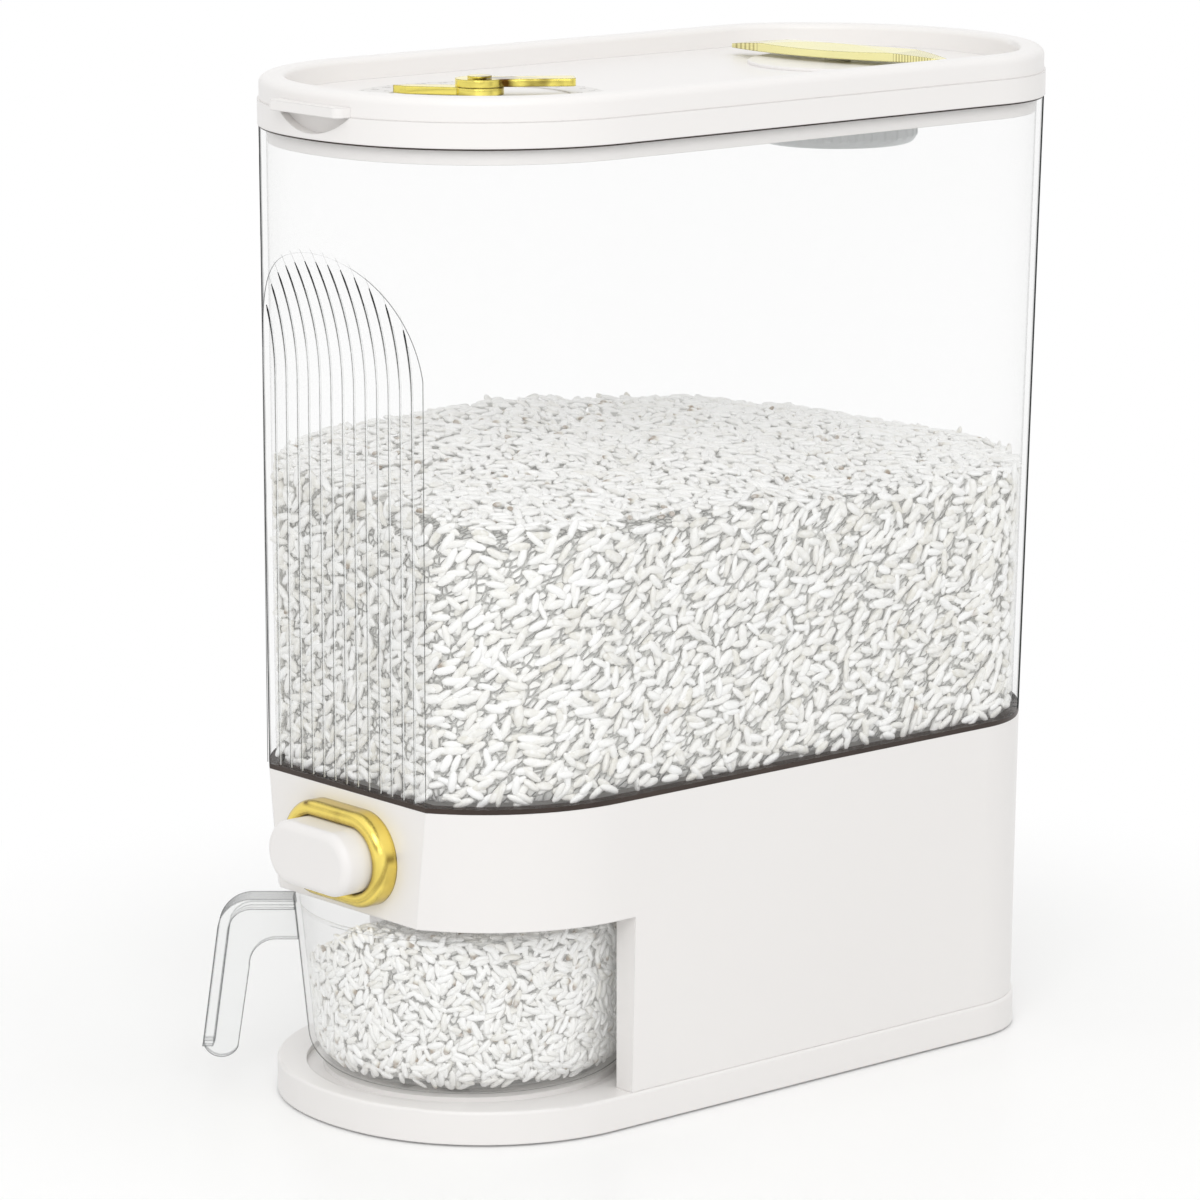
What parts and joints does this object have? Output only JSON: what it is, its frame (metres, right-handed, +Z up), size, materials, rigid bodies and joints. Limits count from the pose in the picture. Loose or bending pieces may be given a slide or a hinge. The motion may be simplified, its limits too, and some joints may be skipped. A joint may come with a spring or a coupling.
{
  "type": "rice dispenser",
  "caption": "Tall clear-walled grain dispenser on a white housing: a front push button opens a gate over a handled measuring cup; hinged lid with date dial.",
  "frame": {"origin": "on the floor under the middle of the lid", "axes": "+Z up; -Y is the front with the button and the cup; the length runs along Y and the width along X"},
  "size_m": [0.1606, 0.3404, 0.375],
  "materials": {
    "white_shell": "satin moulded",
    "white_inner": "matte moulded",
    "clear_shell": "clear polished",
    "clear_cup": "clear polished",
    "gold_trim": "bright gold plating",
    "pale_gold": "brushed pale gold",
    "brown_seal": "dark brown seal",
    "grey_rubber": "soft grey",
    "dial_grey": "fine matte",
    "puck_paper": "uncoated",
    "steel": "plain wire"
  },
  "bodies": {
    "dispenser": {"housing": "white_shell", "base": "white_shell", "rubber_feet": "grey_rubber", "base_screws": "steel", "funnel": "white_inner", "outlet": "white_inner", "button_bezel": "gold_trim", "hopper_seal": "brown_seal", "hopper": "clear_shell", "lid_seal": "brown_seal", "lid_collar": "white_shell", "hinge_pin": "steel", "return_spring_left": "steel", "return_spring_right": "steel"},
    "button": {"button_cap": "white_shell", "gate_slider": "white_inner", "button_screws": "steel"},
    "cup": {"cup_bowl": "clear_cup", "cup_handle": "clear_cup"},
    "lid": {"lid_cover": "white_shell", "cover_seal": "grey_rubber", "dial_ring": "dial_grey", "dial_pin": "gold_trim"},
    "day_hand": {"day_hand": "gold_trim"},
    "month_hand": {"month_hand": "gold_trim"},
    "canister": {"canister": "white_inner", "canister_cap": "white_shell", "moisture_puck": "puck_paper", "grip_post": "white_shell", "canister_grip": "pale_gold"}
  },
  "joints": [
    {"name": "press", "type": "slide", "parent": "dispenser", "child": "button", "axis": [0, 1, 0], "range_m": [0, 0.011], "stiffness_N_per_m": 220, "springref_m": -0.006, "deforming": ["return_spring_left", "return_spring_right"]},
    {"name": "cup_slide", "type": "slide", "parent": "dispenser", "child": "cup", "axis": [0, -1, 0], "range_m": [0, 0.15]},
    {"name": "lid_hinge", "type": "hinge", "parent": "dispenser", "child": "lid", "pos_m": [0, 0.1664, 0.3665], "axis": [-1, 0, 0], "range_deg": [0, 100]},
    {"name": "day_hand_turn", "type": "hinge", "parent": "lid", "child": "day_hand", "pos_m": [0, -0.086, 0.369], "axis": [0, 0, 1], "continuous": true},
    {"name": "month_hand_turn", "type": "hinge", "parent": "lid", "child": "month_hand", "pos_m": [0, -0.086, 0.3715], "axis": [0, 0, 1], "continuous": true},
    {"name": "canister_turn", "type": "hinge", "parent": "lid", "child": "canister", "pos_m": [0, 0.089, 0.367], "axis": [0, 0, 1], "range_deg": [-11, 79]}
  ]
}
